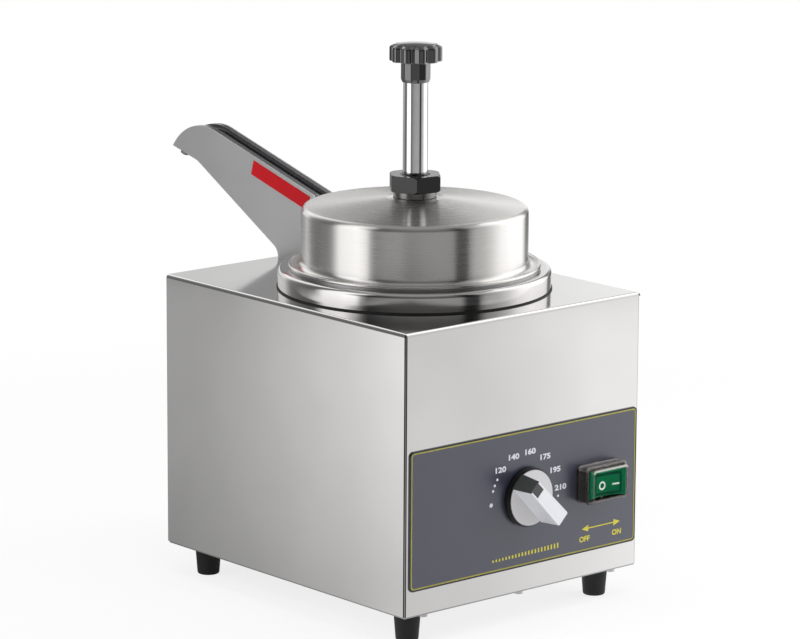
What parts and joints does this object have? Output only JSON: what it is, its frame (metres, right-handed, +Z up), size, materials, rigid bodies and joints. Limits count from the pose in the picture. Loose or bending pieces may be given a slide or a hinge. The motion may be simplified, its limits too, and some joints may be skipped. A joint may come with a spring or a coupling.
{
  "type": "hot fudge topping warmer",
  "caption": "Counter-top hot fudge warmer: steel box with a round water well, lift-out jar, plunger pump in a deep lid and a heated spout channel at the back.",
  "frame": {"origin": "on the counter under the middle of the whole object's bounding box", "axes": "+X to the right of the control panel, +Y to the back, where the spout reaches out, +Z up"},
  "size_m": [0.216, 0.3988, 0.3891],
  "materials": {
    "case_steel": "fine straight brushing",
    "inner_steel": "plain mill finish",
    "lid_steel": "brushed round its axis",
    "collar_steel": "polished shoulder",
    "screw_steel": "bright",
    "rod_chrome": "polished",
    "spout_steel": "matt",
    "trough_steel": "bright",
    "foot_rubber": "matt black",
    "gasket_rubber": "matt black",
    "seal_rubber": "food grade, off-white",
    "overlay_slate": "satin",
    "dial_silver": "satin silver",
    "dial_black": "satin black",
    "knob_black": "gloss black",
    "bushing_white": "plain",
    "switch_black": "gloss black",
    "rocker_green": "gloss green",
    "boot_clear": "clear, slightly brown",
    "label_red": "plain red",
    "heater_metal": "plain",
    "insulation_wool": "pale mineral wool",
    "copper": "bright copper",
    "brass": "plain brass",
    "terminal_white": "plain",
    "wire_jacket": "plain",
    "gland_grey": "plain black",
    "pump_plastic": "food grade white"
  },
  "bodies": {
    "base": {"outer_case": "case_steel", "rear_panel": "case_steel", "bottom_plate": "inner_steel", "corner_angles": "inner_steel", "case_screws": "screw_steel", "feet": "foot_rubber", "foot_screws": "screw_steel", "well": "inner_steel", "well_collar": "collar_steel", "collar_gasket": "gasket_rubber", "collar_studs": "screw_steel", "plate_heater": "heater_metal", "heater_clamp": "inner_steel", "heater_studs": "screw_steel", "well_insulation": "insulation_wool", "spout_housing": "spout_steel", "spout_trough": "trough_steel", "spout_heater": "seal_rubber", "spout_label": "label_red", "spout_screws": "screw_steel", "control_overlay": "overlay_slate", "thermostat_body": "terminal_white", "thermostat_bracket": "inner_steel", "thermostat_bulb": "copper", "bulb_clip": "inner_steel", "capillary_tube": "copper", "high_limit": "switch_black", "switch_body": "switch_black", "switch_bezel": "switch_black", "rocker_pin": "screw_steel", "switch_boot": "boot_clear", "terminal_block": "terminal_white", "earth_stud": "brass", "inner_wires": "wire_jacket", "cord_gland": "gland_grey"},
    "jar": {"inset_jar": "inner_steel"},
    "pump_lid": {"lid_cover": "lid_steel", "pump_head": "inner_steel", "rod_bushing": "bushing_white", "nut_washer": "collar_steel", "lock_nut": "knob_black", "pump_cylinder": "inner_steel", "valve_body": "pump_plastic", "stop_pin": "screw_steel", "tube_nut": "screw_steel", "tube_grommet": "seal_rubber", "discharge_tube": "inner_steel", "return_spring": "screw_steel"},
    "plunger": {"plunger_rod": "rod_chrome", "piston": "pump_plastic", "piston_seal": "seal_rubber", "plunger_knob": "knob_black"},
    "thermostat_knob": {"dial_skirt": "dial_black", "dial_disc": "dial_silver", "dial_grip": "dial_silver", "dial_pointer": "dial_black", "dial_shaft": "screw_steel"},
    "switch_rocker": {"rocker": "rocker_green"},
    "intake_ball": {"intake_ball": "screw_steel"},
    "outlet_ball": {"outlet_ball": "screw_steel"}
  },
  "joints": [
    {"name": "jar_lift", "type": "slide", "parent": "base", "child": "jar", "axis": [0, 0, 1], "range_m": [0, 0.2]},
    {"name": "lid_lift", "type": "slide", "parent": "jar", "child": "pump_lid", "axis": [0, 0, 1], "range_m": [0, 0.3]},
    {"name": "plunger_stroke", "type": "slide", "parent": "pump_lid", "child": "plunger", "axis": [0, 0, -1], "range_m": [0, 0.062], "stiffness_N_per_m": 250, "springref_m": -0.035, "deforming": ["return_spring"]},
    {"name": "thermostat_turn", "type": "hinge", "parent": "base", "child": "thermostat_knob", "pos_m": [0.0018, -0.17781, 0.0892], "axis": [0, 1, 0], "range_deg": [-44, 140]},
    {"name": "rocker_press", "type": "hinge", "parent": "base", "child": "switch_rocker", "pos_m": [0.0678, -0.18211, 0.09], "axis": [0, 0, 1], "range_deg": [0, 10]},
    {"name": "intake_ball_lift", "type": "slide", "parent": "pump_lid", "child": "intake_ball", "axis": [0, 0, 1], "range_m": [0, 0.0025]},
    {"name": "outlet_ball_lift", "type": "slide", "parent": "pump_lid", "child": "outlet_ball", "axis": [0, 0, 1], "range_m": [0, 0.0025]}
  ]
}
